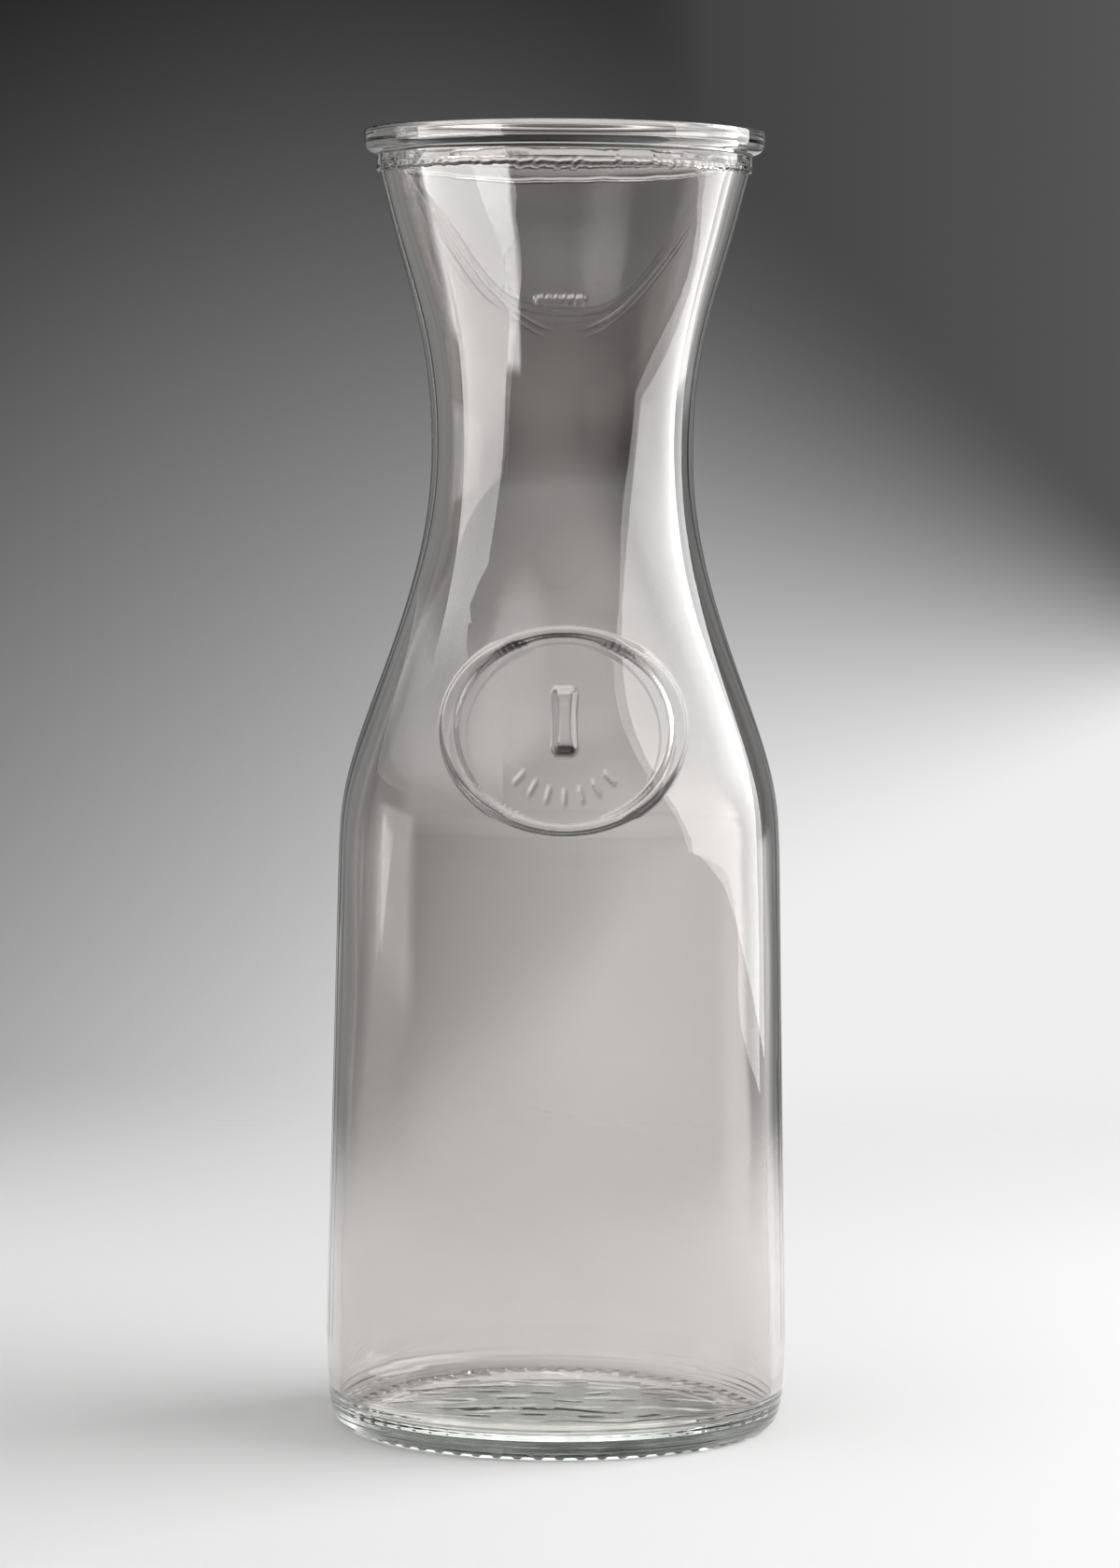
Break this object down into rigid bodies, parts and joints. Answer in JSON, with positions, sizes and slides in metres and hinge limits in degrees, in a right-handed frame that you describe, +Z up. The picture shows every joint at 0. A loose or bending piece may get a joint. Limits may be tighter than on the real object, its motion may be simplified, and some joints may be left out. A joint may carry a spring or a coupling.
{
  "type": "wine jug",
  "caption": "Clear glass wine carafe with a beaded flared mouth, a waisted neck to grip, an oval medallion on the shoulder and a tall tapered body.",
  "frame": {"origin": "centre of the ring of ribs that the jug stands on, at the level of the surface under it", "axes": "+Z up along the jug's axis towards the mouth, -Y towards the medallion at the front"},
  "size_m": [0.0944, 0.0944, 0.266],
  "materials": {
    "clear_glass": "fire-polished clear soda-lime glass with a faint green tint in its edges and base"
  },
  "bodies": {
    "root": {"glass_jug": "clear_glass"}
  },
  "joints": []
}
